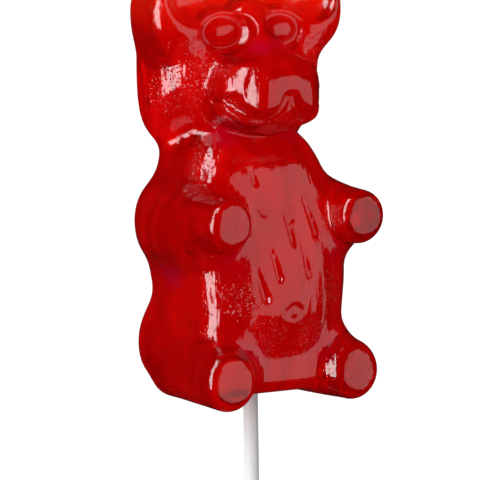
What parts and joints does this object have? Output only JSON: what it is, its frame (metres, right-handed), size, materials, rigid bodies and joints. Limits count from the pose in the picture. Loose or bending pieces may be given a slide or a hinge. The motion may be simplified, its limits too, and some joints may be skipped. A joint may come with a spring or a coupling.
{
  "type": "gummy bear lollipop",
  "caption": "Large translucent red jelly bear with a flat back, round ears, stubby paws and feet, moulded on a straight plastic lollipop stick; lies on its back.",
  "frame": {"origin": "middle of the bear's flat back, which lies on Z = 0", "axes": "+Z out of the bear's front, +Y towards its head, -Y along the stick, +X towards its left side"},
  "size_m": [0.065, 0.2111, 0.0355],
  "materials": {
    "jelly": "clear red fruit jelly, wet-looking gloss, deep red where thick and orange-red where thin",
    "stick_plastic": "translucent white plastic rod with a soft satin surface"
  },
  "bodies": {
    "root": {"bear": "jelly", "stick": "stick_plastic"}
  },
  "joints": []
}
